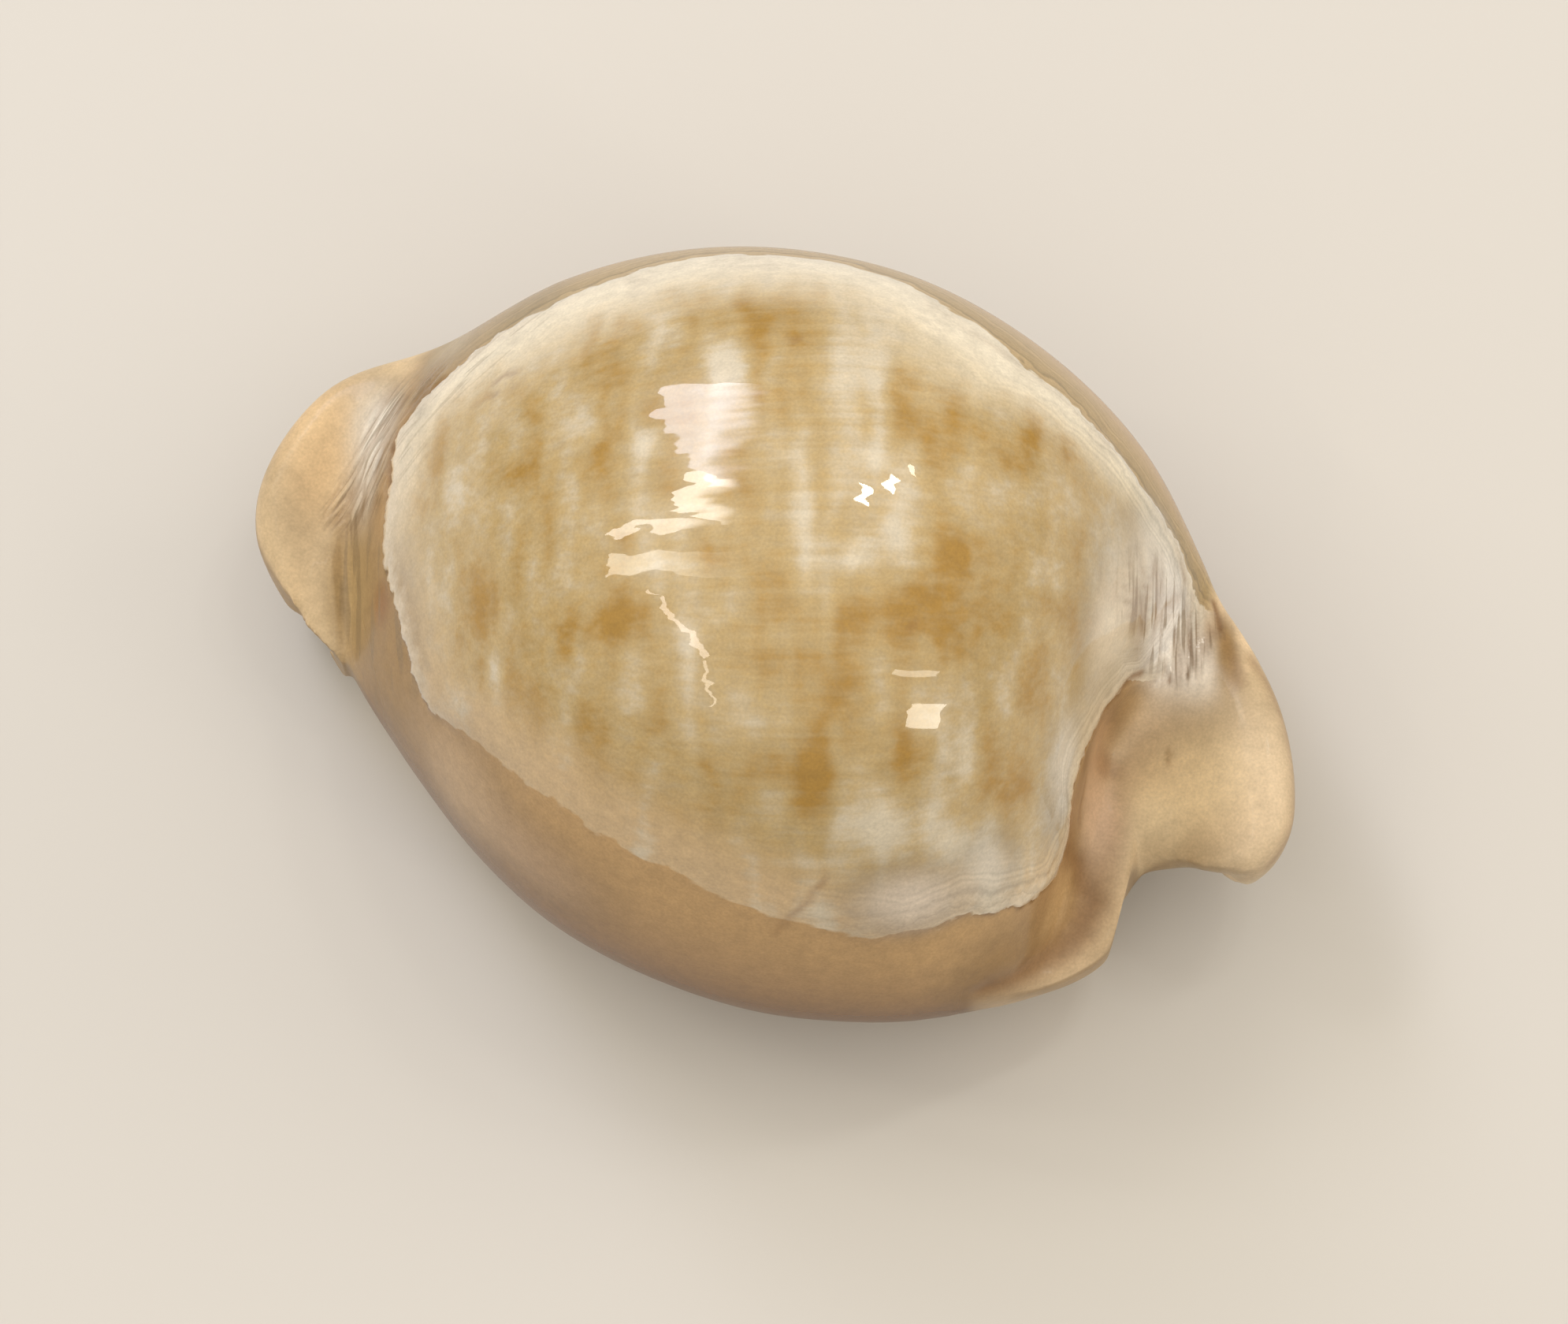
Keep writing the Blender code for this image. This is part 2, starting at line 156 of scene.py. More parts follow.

# Creases and scars pressed into the surface, and marks with no depth: (points, half width, depth, darkness).
# The darkness is mostly painted shade in the creases, and the own colour of the scars, the specks and the
# crack.
CREASES = {
    "rear_fold_low": (((32.3, 10.6, 20.6), (33.1, 8.3, 18.8), (33.4, 6.7, 18.3)), 0.22, 0.16, 0.7),
    "rear_fold_high": (((33.2, 12.6, 19.5), (34.2, 9.6, 18.7), (34.7, 7.6, 18.4)), 0.22, 0.16, 0.7),
    "beak_joint": (((34.8, 14.8, 18.1), (35.4, 13.8, 18.2), (36.0, 12.6, 18.6)), 0.4, 0.15, 0.8),
    # A dark painted reflection line along the outer shoulder, over a very shallow groove.
    "shoulder_reflection_line": (
        ((6.6, 22.7, 42.0), (14.2, 20.7, 40.9), (22.0, 19.1, 35.5), (28.0, 17.4, 27.8), (31.9, 14.4, 22.4)),
        0.4, 0.04, 0.35,
    ),
    # A painted shadow line under the coat's edge along the hollow, in a shallow crease.
    "hollow_edge_shadow": (
        ((31.0, 5.8, 20.6), (30.4, 4.9, 21.5), (28.8, 0.5, 22.9), (28.7, -3.9, 25.0), (28.9, -9.5, 23.5)),
        0.5, 0.20, 0.8,
    ),
    "hollow_line": (((29.5, -4.2, 19.8), (29.9, -6.8, 18.8), (31.7, -10.2, 15.5)), 0.35, 0.08, 0.5),
    "groove": (
        (
            (29.9, -10.0, 19.2), (31.4, -10.4, 15.7), (33.3, -12.9, 14.7), (33.1, -15.8, 14.5),
            (32.0, -18.1, 14.5), (30.3, -20.7, 15.7), (27.5, -23.5, 17.0),
        ),
        1.5, 0.30, 0.75,
    ),
    "beak_tongue": (
        ((35.2, 13.6, 18.4), (36.6, 11.9, 18.9), (37.8, 10.3, 19.4), (38.9, 8.2, 20.0)),
        0.8, 0.04, 0.4,
    ),
    # A dark line with no depth painted along the beak's rim, as a painted reflection line of its edge.
    "beak_rim_reflection_line": (
        (
            (39.5, 10.6, 18.9), (41.8, 8.8, 19.0), (44.0, 6.5, 19.1), (45.9, 3.6, 19.2), (47.1, 0.3, 19.1),
            (47.4, -2.8, 18.5), (46.9, -5.6, 17.0),
        ),
        0.9, 0.0, 0.42,
    ),
    "scar_high": (((-27.2, 6.4, 36.1), (-26.6, 7.4, 36.6), (-25.4, 7.8, 37.6)), 0.25, 0.12, 0.55),
    "scar_middle": (((-25.9, 5.6, 37.6), (-25.2, 6.0, 38.0)), 0.22, 0.08, 0.4),
    "scar_low": (((-28.4, 4.1, 35.4), (-27.6, 5.0, 36.0), (-26.6, 5.3, 37.0)), 0.25, 0.12, 0.45),
    "speck_rear": (((13.3, -5.2, 47.7), (13.8, -5.0, 47.6)), 0.3, 0.0, 0.6),
    "speck_side": (((-3.9, 14.7, 47.0), (-3.3, 14.7, 47.1)), 0.3, 0.0, 0.5),
    "hairline_crack": (((13.2, -24.1, 36.5), (11.9, -26.4, 33.5), (10.1, -28.5, 29.9)), 0.28, 0.03, 0.5),
}
DEEPEST_CREASE = max(depth for _, _, depth, _ in CREASES.values())

# The beak's tip is drawn out and its side drawn in: (centre, radius, how far, along which axis).
BEAK_SHAPING = {
    "beak_tip": ((43.0, -7.0, 8.0), 4.5, 0.9, "X"),
    "beak_side": ((44.2, -6.2, 15.5), 4.0, -1.0, "Y"),
}

# Bends of the solid that are rubbed smooth: (centre, radius, how many rubs).
BENDS = {
    "hollow_bend": ((31.5, -0.5, 16.5), 6.0, 60),
    "front_corner_bend": ((-36.3, -13.3, 7.5), 2.5, 25),
    "groove_bend": ((33.6, -6.5, 15.0), 3.5, 60),
    "notch_bend": ((35.6, -7.4, 14.0), 3.2, 40),
    "beak_rim_bend": ((41.0, -6.5, 12.5), 4.0, 20),
    "beak_tip_bend": ((43.5, -7.5, 8.0), 4.5, 80),
}

# Fine lines in the zones of folds and on the rim: (zone, direction that they repeat in, in degrees from +X,
# spacing, strength).
FINE_LINES = (
    ("front_zone", -18.3, 0.35, 0.55),
    ("band_zone", 20.0, 0.6, 0.45),
    ("rim_zone", -30.0, 0.45, 0.3),
    ("rear_zone", 20.0, 0.42, 0.65),
)

# The studio's windows, shelves and strings of light, and lamps, all turned to the shell: (place, direction of
# the first side, size, watts, colour, slant of a blind over the low corner or 0, and where along the first
# side, from 0 to 1, the light starts to fade).
LIGHTS = {
    "window": ((-0.4875, 0.3375, 0.545), (0.77, 0.27, 0.58), (0.33, 0.365), 2.75, "#EAEDFF", 1.05, 0.6),
    "window_foot": ((-0.45, 0.17, 0.68), (0.80, 0.15, 0.57), (0.18, 0.11), 0.66, "#FFFBF2", 0.0, 0.5),
    "shelf_one": ((-0.555, 0.06, 0.60), (0.68, 0.25, 0.68), (0.38, 0.035), 0.37, "#FFFBF2", 0.0, 0.7),
    "shelf_two": ((-0.47, -0.035, 0.635), (0.78, 0.23, 0.585), (0.56, 0.075), 0.88, "#FFF8E8", 0.0, 0.2),
    "string_one": ((-0.40, -0.27, 0.68), (0.74, -0.63, 0.21), (0.33, 0.026), 0.21, "#FFEFE0", 0.0, 1.0),
    "string_two": ((-0.235, -0.47, 0.645), (0.28, -0.80, -0.53), (0.22, 0.015), 0.075, "#FFEFD8", 0.0, 1.0),
    "lamp_one": ((0.09, 0.29, 0.79), (1.0, 0.0, 0.0), (0.052, 0.062), 0.22, "#FFFDF6", 0.0, 1.0),
    "lamp_two": ((0.19, 0.36, 0.74), (1.0, 0.0, 0.0), (0.052, 0.066), 0.22, "#FFFDF6", 0.0, 1.0),
    "lamp_three": ((0.25, 0.44, 0.68), (1.0, 0.0, 0.0), (0.025, 0.027), 0.03, "#FFF4D8", 0.0, 1.0),
    "far_window": ((0.72, -0.21, 0.37), (0.45, 0.45, -0.77), (0.20, 0.085), 0.5, "#FFF6E4", 0.0, 1.0),
    "fill": ((0.62, 0.40, 0.32), (0.54, -0.84, 0.0), (0.5, 0.5), 1.6, "#FFF3E4", 0.0, 1.0),
    "far_shelf": ((0.63, -0.125, 0.525), (0.62, 0.31, -0.72), (0.26, 0.022), 0.11, "#FFF6E4", 0.0, 1.0),
}

# The lines where the dome's foot meets the flange at each end, seen from above: (x, y).
FRONT_FOOT = (
    (-35.0, 18.0), (-36.8, 12.1), (-37.4, 6.2), (-37.9, 1.3), (-38.6, -2.5), (-38.4, -6.0),
    (-36.8, -10.0), (-34.4, -13.6), (-31.0, -18.5),
)
REAR_FOOT = (
    (27.5, -25.0), (30.6, -20.7), (32.5, -17.7), (33.3, -14.9), (33.0, -12.1), (31.6, -9.5), (30.6, -4.0),
    (31.0, 0.0), (32.5, 4.5), (34.2, 9.0), (35.2, 13.0), (35.0, 19.0),
)

# Relief keeps to spans in millimetres. It eases in from the first number of a span to the second and, where
# there are four, out from the third to the fourth.

# The coat's step, up from its edge, towards the two ends, and up to the dome's foot. At the shell's sides it
# has a share of its height at the ends, and no relief lies under the lowest height.
COAT_STEP = (-0.35, 0.35, 0.6, 7.0)
COAT_STEP_TO_ENDS = (16.0, 26.0)
COAT_STEP_TO_FOOT = (-1.5, 0.5)
COAT_STEP_AT_SIDES = 0.25
LOWEST_RELIEF = 12.0

# The step is left out where the rear folds run down, along the shell and across it.
FOLDED_CORNER = ((22.0, 26.0), (2.0, 5.0, 14.0, 17.0))

# Growth ripples, up from the coat's edge and along the shell, with the distance from one to the next and how
# far one runs before it changes.
RIPPLES_UP = (0.3, 1.2, 4.0, 9.0)
RIPPLES_TO_REAR = (10.0, 24.0)
RIPPLE_SPACING = 0.9
RIPPLE_LENGTH = 15.0

# Zones of folds beside the foot lines: (line, span past it, span across the shell). The coat covers the two
# front ones from its edge on, and the rear one starts at a height.
FOLD_ZONES = {
    "front_zone": (FRONT_FOOT, (-6.0, -3.0, 1.0, 3.5), (-5.0, -2.0, 7.0, 12.0)),
    "band_zone": (FRONT_FOOT, (-8.0, -6.0, -0.5, 0.5), (-20.0, -14.0, -3.0, 0.0)),
    "rear_zone": (REAR_FOOT, (-9.0, -5.0, 0.5, 2.5), (5.5, 8.0, 12.0, 15.5)),
}
COATED_FROM = (-1.0, 0.5)
REAR_FOLDS_FROM = (15.0, 17.0)

# The rim over the front end: up from the coat's edge, towards the front, and towards the outer side.
RIM_ZONE = ((0.0, 0.8, 3.0, 7.0), (22.0, 28.0), (-5.0, 1.0))

# Folds in two of the zones: (zone, direction that they repeat in, spacing, length, seed).
FOLDS = {
    "front_folds": ("front_zone", (0.932, -0.309, 0.0), 0.6, 4.5, 3.0),
    "rear_folds": ("rear_zone", STROKE, 0.75, 6.0, 5.0),
}
# The creases between the folds get this much painted shade.
FOLD_DARKNESS = 0.45

# The coat's edge overhangs at both ends, with painted shadow under it: (how far below the edge, half width,
# share of the deepest crease, darkness), and its spans along the shell and across it.
OVERHANG = (0.7, 0.5, 0.6, 0.75)
FRONT_OVERHANG = ((31.0, 33.5), (-7.0, -3.0))
REAR_OVERHANG = ((25.0, 27.0), (-14.0, -10.0, 1.5, 4.0))
OVERHANG_TO_FOOT = (-1.0, 0.5)

# The facets that are divided lie this far past the foot lines, and up to this height above the coat's edge.
DIVIDED_FRONT = (-8.0, 3.0)
DIVIDED_REAR = (-5.0, 5.0)
DIVIDED_UP_TO = 6.0


def offsets_from(points, line):
    """Each straight run of a line, with the points' offsets from the nearest places on it."""
    for start, end in zip(np.array(line[:-1]), np.array(line[1:])):
        run = end - start
        share = np.clip((points - start) @ run / (run @ run), 0.0, 1.0)
        yield run, points - start - share[:, None] * run


def line_gap(points, line):
    """Each point's distance from a line seen from above, in millimetres, positive on the line's right."""
    nearest = np.full(len(points), np.inf)
    gap = np.zeros(len(points))
    for run, away in offsets_from(points[:, :2], line):
        distance = np.hypot(away[:, 0], away[:, 1])
        side = np.sign(run[1] * away[:, 0] - run[0] * away[:, 1])
        closer = distance < nearest
        nearest[closer] = distance[closer]
        gap[closer] = (side * distance)[closer]
    return gap


def line_distance(points, line):
    """Each point's distance in space from a line, in millimetres."""
    return np.min([np.linalg.norm(away, axis=1) for _, away in offsets_from(points, line)], axis=0)


def above_coat_edge(points):
    """Each point's height above the edge of the last coat, in millimetres."""
    direction = np.degrees(np.arctan2(points[:, 1] - DOME_AXIS[1], points[:, 0] - DOME_AXIS[0])) % 360.0
    table = np.array(COAT_EDGE)
    return points[:, 2] - np.interp(direction, table[:, 0], table[:, 1])


def noise_at(places, where):
    """Smooth noise from about -1 to 1 at the chosen places, and 0 at the others."""
    values = np.zeros(len(places))
    for index in np.flatnonzero(where):
        values[index] = noise.noise(places[index])
    return values


def fray(points, high):
    """The heights above the coat's edge once it is frayed along the strokes, by about half a millimetre."""
    length, width, height, finer = 9.0, 0.9, 0.7, 2.6
    along, across = along_and_across(points)
    places = np.column_stack((along / length, across / width, points[:, 2] / width))
    near_edge = np.abs(high) < 3.0
    coarse, fine = (noise_at(size * places, near_edge) for size in (1.0, finer))
    return high + height * (coarse + 0.5 * fine)


def ease(values, start, full):
    """0 up to `start` and 1 from `full`, with a smooth change between them."""
    share = np.clip((values - start) / (full - start), 0.0, 1.0)
    return share * share * (3.0 - 2.0 * share)


def between(values, start, full, fading, gone):
    """1 from `full` to `fading`, easing to 0 at `start` and at `gone`."""
    return ease(values, start, full) * (1.0 - ease(values, fading, gone))


def near(points, centre, radius):
    """1 round a place, falling to 0 past a radius."""
    return np.exp(-((np.linalg.norm(points - centre, axis=1) / radius) ** 4))


def mesh_points(mesh):
    """The mesh's points, in millimetres."""
    points = np.empty(len(mesh.vertices) * 3)
    mesh.vertices.foreach_get("co", points)
    return points.reshape(-1, 3) / MM


def keep_values(mesh, name, values):
    """Keeps one number at each point, for the enamel to read."""
    attribute = mesh.attributes.get(name) or mesh.attributes.new(name, "FLOAT", "POINT")
    attribute.data.foreach_set("value", values.astype(np.float32))


def along_and_across(points):
    """The points' places along the mantle's strokes and across them."""
    along, across, _ = STROKE
    return points[:, 0] * along + points[:, 1] * across, points[:, 1] * along - points[:, 0] * across


def away_from(points, centre, halves):
    """Each point's squared distance from a centre, in half widths along the strokes, across them and up."""
    offsets = points[:, : len(centre)] - centre
    sides = (*along_and_across(offsets), *offsets.T[2:])
    return sum((side / half) ** 2 for side, half in zip(sides, halves))


def mark_weights(points):
    """How brown, or below 0 how pale, the marks of the back make each point."""
    weights = np.zeros(len(points))
    for x, y, half_along, half_across, weight in MARKS:
        weights += weight * np.exp(-away_from(points, (x, y), (half_along, half_across)))
    return weights


def paint_stains_light_and_shade(mesh, points):
    """Paints the local colours and the painted shade and light over each other, with how much of them shows
    as alpha.
    """
    painted = np.zeros((len(points), 4))
    for centre, halves, colour, strength in STAINS_LIGHT_AND_SHADE.values():
        share = strength * np.exp(-(away_from(points, centre, halves) ** 1.5))
        painted[:, :3] += share[:, None] * (np.array(linear(colour)[:3]) - painted[:, :3])
        painted[:, 3] += share * (1.0 - painted[:, 3])
    stains = mesh.attributes.new("stains", "FLOAT_COLOR", "POINT")
    stains.data.foreach_set("color", painted.astype(np.float32).ravel())


def apply_by_shares(piece, modifier, shares, least):
    """Applies a modifier as strongly at each point as its share says, leaving out shares under the least."""
    name = modifier.name
    group = piece.vertex_groups.new(name=name)
    for index in np.flatnonzero(shares > least):
        group.add([int(index)], float(shares[index]), "REPLACE")
    modifier.vertex_group = name
    bpy.ops.object.modifier_apply(modifier=name)
    piece.vertex_groups.remove(piece.vertex_groups[name])


def swell(piece, name, shares, height, direction="NORMAL"):
    """Moves the surface by each point's share of a height."""
    displace = piece.modifiers.new(name, "DISPLACE")
    displace.direction = direction
    displace.mid_level = 0.0
    displace.strength = height
    apply_by_shares(piece, displace, shares, least=0.002)


def folds(points, where, across, spacing, length, seed):
    """Rounded folds with narrow creases between them, from 0 in a crease to 1 on a fold.

    `across` is the direction that they repeat in, and `length` is how far one runs before it changes.
    """
    across = Vector(across).normalized()
    along = across.cross(Vector((0.0, 0.0, 1.0))).normalized()
    sides = (points @ across / spacing, points @ along / length, points[:, 2] / length + seed)
    roundness = 2.4
    return np.minimum(1.0, roundness * np.abs(noise_at(np.column_stack(sides), where)))


def only_active(piece):
    """Selects one piece alone and makes it the active one."""
    bpy.ops.object.select_all(action="DESELECT")
    piece.select_set(True)
    bpy.context.view_layer.objects.active = piece


def linear(hex_colour):
    """An sRGB hex colour as linear RGBA."""
    channels = [int(hex_colour[place : place + 2], 16) / 255.0 for place in (1, 3, 5)]
    return (*(c / 12.92 if c <= 0.04045 else ((c + 0.055) / 1.055) ** 2.4 for c in channels), 1.0)


def add_node(tree, kind, settings, inputs):
    """Adds one node with its settings. An input gets a value, or a socket or another node to link from."""
    node = tree.nodes.new("ShaderNode" + kind)
    for name, value in settings.items():
        setattr(node, name, value)
    for name, value in inputs.items():
        if isinstance(value, bpy.types.Node):
            value = next(result for result in value.outputs if result.enabled)
        if isinstance(value, bpy.types.NodeSocket):
            tree.links.new(value, node.inputs[name])
        else:
            node.inputs[name].default_value = value
    return node


def relief(name, description, height):
    """A height of the surface's relief."""
    return bpy.props.FloatProperty(name=name, description=description, default=height, unit="LENGTH")


class CowrieSurfaceSettings(bpy.types.PropertyGroup):
    rounding: bpy.props.IntProperty(
        name="Rounding", description="How many times each facet of the solid is divided and rounded",
        default=2, min=1, max=3,
    )
    coat_step: relief("Coat Step", "How far the last coat's edge stands out at the two ends", 0.4 * MM)
    ripples: relief("Ripples", "Height of the ripples beside the coat's edge at the rear", 0.08 * MM)
    front_folds: relief("Front Folds", "Height of the ridges by the front flange", 0.2 * MM)
    rear_folds: relief("Rear Folds", "Height of the folds by the rear beak", 0.2 * MM)


def enamel_colour(name, description, default):
    """A colour of the enamel."""
    return bpy.props.StringProperty(name=name, description=description + ", as sRGB hex", default=default)


class CowrieEnamelSettings(bpy.types.PropertyGroup):
    back: enamel_colour("Back", "The tan ground of the back", "#B39B6C")
    # The back's cream rim is painted lighter on the outer side and tan on the inner side, as painted light
    # and shade.
    rim_of_back: enamel_colour("Rim of the Back", "The cream that the back pales to", "#E1D7C0")
    shaded_rim: enamel_colour("Shaded Rim", "The cream's tan on the inner side", "#C2A77F")
    blotches: enamel_colour("Blotches", "Golden-brown blotches", "#9F7A31")
    clouds: enamel_colour("Clouds", "Milky patches between the blotches", "#CFC4AE")
    flanks: enamel_colour("Flanks", "The sides below the last coat", "#B8976A")
    outer_flanks: enamel_colour("Outer Flanks", "The outer lip's side below the last coat", "#AC9468")
    # Painted shade: the flanks are painted dark brown where they face down and turn under.
    shaded_low_flanks: enamel_colour("Low Flanks", "The sides where they turn under", "#6E4720")
    ends: enamel_colour("Ends", "The front flange and the rear beak", "#D5BC95")
    # Painted shade on the ends' rims where they face down.
    rims: enamel_colour("Rims", "The ends' rims where they turn down", "#A0845F")
    # Painted lighter than the hollow's enamel, as painted light that lifts its shade.
    hollow: enamel_colour("Hollow", "The hollow where the spire is sunk", "#E6CBA6")
    chalk: enamel_colour("Chalk", "The white edge of the last coat at the ends", "#DDD0BA")
    # Painted shade in the creases and under the coat's overhang, and the colour of the scars, specks and
    # crack.
    creases: enamel_colour("Creases", "Brown left in the creases", "#7E5A34")
    fine_lines: enamel_colour("Fine Lines", "Grey-brown lines down the folds at the ends", "#7C6A50")
    base: enamel_colour("Base", "The base and the teeth", "#D9C3A0")


class CowrieStageSettings(bpy.types.PropertyGroup):
    floor_colour: bpy.props.StringProperty(name="Floor", description="The floor's colour", default="#CDCAC5")
    azimuth: bpy.props.FloatProperty(
        name="Azimuth", description="The camera's direction round the shell", default=math.radians(20.0),
        subtype="ANGLE", unit="ROTATION",
    )
    elevation: bpy.props.FloatProperty(
        name="Elevation", description="The camera's height above the horizon", default=math.radians(72.0),
        subtype="ANGLE", unit="ROTATION",
    )
    distance: bpy.props.FloatProperty(
        name="Distance", description="From the camera to the shell's middle", default=0.4, unit="LENGTH",
    )
    lens: bpy.props.FloatProperty(name="Lens", description="Focal length", default=107.5, unit="CAMERA")


class COWRIE_OT_surface(bpy.types.Operator):
    """Models the shell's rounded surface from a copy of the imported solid"""

    bl_idname = "cowrie.surface"
    bl_label = "Shell Surface"

    def execute(self, context):
        sizes = context.scene.cowrie_surface
        solid = frame["nodes"]["shell"]
        only_active(solid)
        bpy.ops.object.duplicate()
        shell = context.active_object
        shell.name = "glazed_shell"
        shell.parent = None
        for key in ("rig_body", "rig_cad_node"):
            if key in shell:
                del shell[key]

        bpy.ops.object.mode_set(mode="EDIT")
        bpy.ops.mesh.select_all(action="SELECT")
        bpy.ops.mesh.remove_doubles(threshold=0.002 * MM)
        bpy.ops.mesh.tris_convert_to_quads(
            face_threshold=math.radians(60.0), shape_threshold=math.radians(100.0)
        )
        self.divide_fold_bands(shell)
        bpy.ops.object.mode_set(mode="OBJECT")

        rounding = shell.modifiers.new("Rounding", "SUBSURF")
        rounding.levels = sizes.rounding
        rounding.render_levels = sizes.rounding
        bpy.ops.object.modifier_apply(modifier=rounding.name)
        self.ease_bends(shell)
        self.raise_coat(shell, sizes)
        self.press_creases(shell, self.raise_folds(shell, sizes))
        bpy.ops.object.shade_smooth()

        points = mesh_points(shell.data)
        keep_values(shell.data, "above_coat_edge", fray(points, above_coat_edge(points)))
        keep_values(shell.data, "past_front_foot", line_gap(points, FRONT_FOOT))
        keep_values(shell.data, "past_rear_foot", line_gap(points, REAR_FOOT))
        keep_values(shell.data, "mark", mark_weights(points))
        paint_stains_light_and_shade(shell.data, points)
        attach(shell, "root")
        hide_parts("shell")
        return {"FINISHED"}

    def divide_fold_bands(self, shell):
        """Makes the facets smaller where the folds and the coat's edge come."""
        bpy.ops.mesh.select_all(action="DESELECT")
        shape = bmesh.from_edit_mesh(shell.data)
        centres = np.array([face.calc_center_median() for face in shape.faces]) / MM
        outward = np.array([face.normal for face in shape.faces])
        from_axis = ((centres[:, :2] - DOME_AXIS) * outward[:, :2]).sum(axis=1)
        # The faces of the outside look away from the dome's axis or up.
        outside = (from_axis > 0.0) | (outward[:, 2] > 0.3)
        front = line_gap(centres, FRONT_FOOT)
        rear = line_gap(centres, REAR_FOOT)
        band = (front > DIVIDED_FRONT[0]) & (front < DIVIDED_FRONT[1])
        band |= (rear > DIVIDED_REAR[0]) & (rear < DIVIDED_REAR[1])
        band &= outside & (centres[:, 2] > LOWEST_RELIEF) & (above_coat_edge(centres) < DIVIDED_UP_TO)
        for face, chosen in zip(shape.faces, band):
            face.select = bool(chosen)
        shape.select_flush(True)
        bmesh.update_edit_mesh(shell.data)
        bpy.ops.mesh.subdivide(number_cuts=1, smoothness=0.0)

    def ease_bends(self, shell):
        """Shapes the beak's tip, and rubs out the sharp bends near it and in the rear hollow."""
        points = mesh_points(shell.data)
        for name, (centre, radius, reach, axis) in BEAK_SHAPING.items():
            swell(shell, name, near(points, centre, radius), reach * MM, axis)
        points = mesh_points(shell.data)
        for name, (centre, radius, rubs) in BENDS.items():
            rub = shell.modifiers.new(name, "SMOOTH")
            rub.factor = 0.5
            rub.iterations = rubs
            apply_by_shares(shell, rub, near(points, centre, radius), least=0.01)

    def raise_coat(self, shell, sizes):
        """Thickens the last coat near its edge, most at the two ends, and ripples it at the rear."""
        points = mesh_points(shell.data)
        x, y, z = points.T
        high = fray(points, above_coat_edge(points))
        past_foot = np.maximum(line_gap(points, FRONT_FOOT), line_gap(points, REAR_FOOT))
        on_dome = (z > LOWEST_RELIEF) * (1.0 - ease(past_foot, *COAT_STEP_TO_FOOT))
        lengthwise, crosswise = FOLDED_CORNER
        on_dome *= 1.0 - ease(x, *lengthwise) * between(y, *crosswise)
        share = COAT_STEP_AT_SIDES + (1.0 - COAT_STEP_AT_SIDES) * ease(np.abs(x), *COAT_STEP_TO_ENDS)
        swell(shell, "coat", between(high, *COAT_STEP) * share * on_dome, sizes.coat_step)

        band = between(high, *RIPPLES_UP) * ease(x, *RIPPLES_TO_REAR) * on_dome
        band *= band > 0.01
        places = np.column_stack((high / RIPPLE_SPACING, x / RIPPLE_LENGTH, y / RIPPLE_LENGTH))
        ripples = np.clip(0.5 + noise_at(places, band), 0.0, 1.0)
        swell(shell, "ripples", band * ripples, sizes.ripples)

    def raise_folds(self, shell, sizes):
        """Raises oblique ridges on the front flange's foot and upright folds on the rear one's outer side.

        It returns how deep each point lies in the creases between them.
        """
        points = mesh_points(shell.data)
        x, y, z = points.T
        high = above_coat_edge(points)
        zones = {
            name: between(line_gap(points, foot), *past) * between(y, *crosswise)
            for name, (foot, past, crosswise) in FOLD_ZONES.items()
        }
        bare = 1.0 - ease(high, *COATED_FROM)
        zones["front_zone"] *= bare * (z > LOWEST_RELIEF)
        zones["band_zone"] *= bare
        zones["rear_zone"] *= ease(z, *REAR_FOLDS_FROM)
        beside_edge, frontwards, outwards = RIM_ZONE
        zones["rim_zone"] = between(high, *beside_edge) * ease(-x, *frontwards) * ease(y, *outwards)
        for name, zone in zones.items():
            keep_values(shell.data, name, zone)
        creases = np.zeros(len(points))
        for name, (zone_name, across, spacing, length, seed) in FOLDS.items():
            zone = zones[zone_name]
            ridges = zone * folds(points, zone > 0.01, across, spacing, length, seed)
            creases = np.maximum(creases, zone - ridges)
            swell(shell, name, ridges, getattr(sizes, name))
        return creases

    def press_creases(self, shell, fold_creases):
        """Presses the creases and the coat's overhang in, and keeps how dark each point of them is painted,
        mostly as painted shade.
        """
        points = mesh_points(shell.data)
        x, y, _ = points.T
        depths = np.zeros(len(points))
        darkness = FOLD_DARKNESS * fold_creases
        for line, half_width, depth, dark in CREASES.values():
            share = np.exp(-((line_distance(points, line) / half_width) ** 2))
            depths = np.maximum(depths, share * depth / DEEPEST_CREASE)
            darkness = np.maximum(darkness, share * dark)
        high = fray(points, above_coat_edge(points))
        lengthwise, crosswise = FRONT_OVERHANG
        at_front = ease(-x, *lengthwise) * ease(y, *crosswise)
        lengthwise, crosswise = REAR_OVERHANG
        at_rear = ease(x, *lengthwise) * between(y, *crosswise)
        at_rear *= 1.0 - ease(line_gap(points, REAR_FOOT), *OVERHANG_TO_FOOT)
        below, half_width, depth, dark = OVERHANG
        under = np.exp(-(((high + below) / half_width) ** 2)) * np.maximum(at_front, at_rear)
        depths = np.maximum(depths, depth * under)
        darkness = np.maximum(darkness, dark * under)
        swell(shell, "creases", depths, -DEEPEST_CREASE * MM)
        keep_values(shell.data, "crease", darkness)


# Settings that many nodes share. A mix takes its share at input 0, colours at inputs 6 and 7, and numbers at
# inputs 2 and 3.
SMOOTH = {"interpolation_type": "SMOOTHSTEP"}
STRETCHED = {"vector_type": "TEXTURE"}
MIX_COLOURS = {"data_type": "RGBA"}
ADD = {"operation": "ADD"}
SUBTRACT = {"operation": "SUBTRACT"}
MULTIPLY = {"operation": "MULTIPLY"}
MULTIPLY_ADD = {"operation": "MULTIPLY_ADD"}
SCALE = {"operation": "SCALE"}
NOISE_MIDDLE = (0.5, 0.5, 0.5)

# The numbers that the surface keeps at its points.
KEPT_VALUES = (
    "above_coat_edge", "past_front_foot", "past_rear_foot", "mark", "crease",
    "front_zone", "band_zone", "rim_zone", "rear_zone",
)

# Slow wandering, 4 mm wide and up to 1 mm each way, so that no blotch has a straight side.
WANDER_WIDTH = 4.0
WANDER_REACH = 2.0

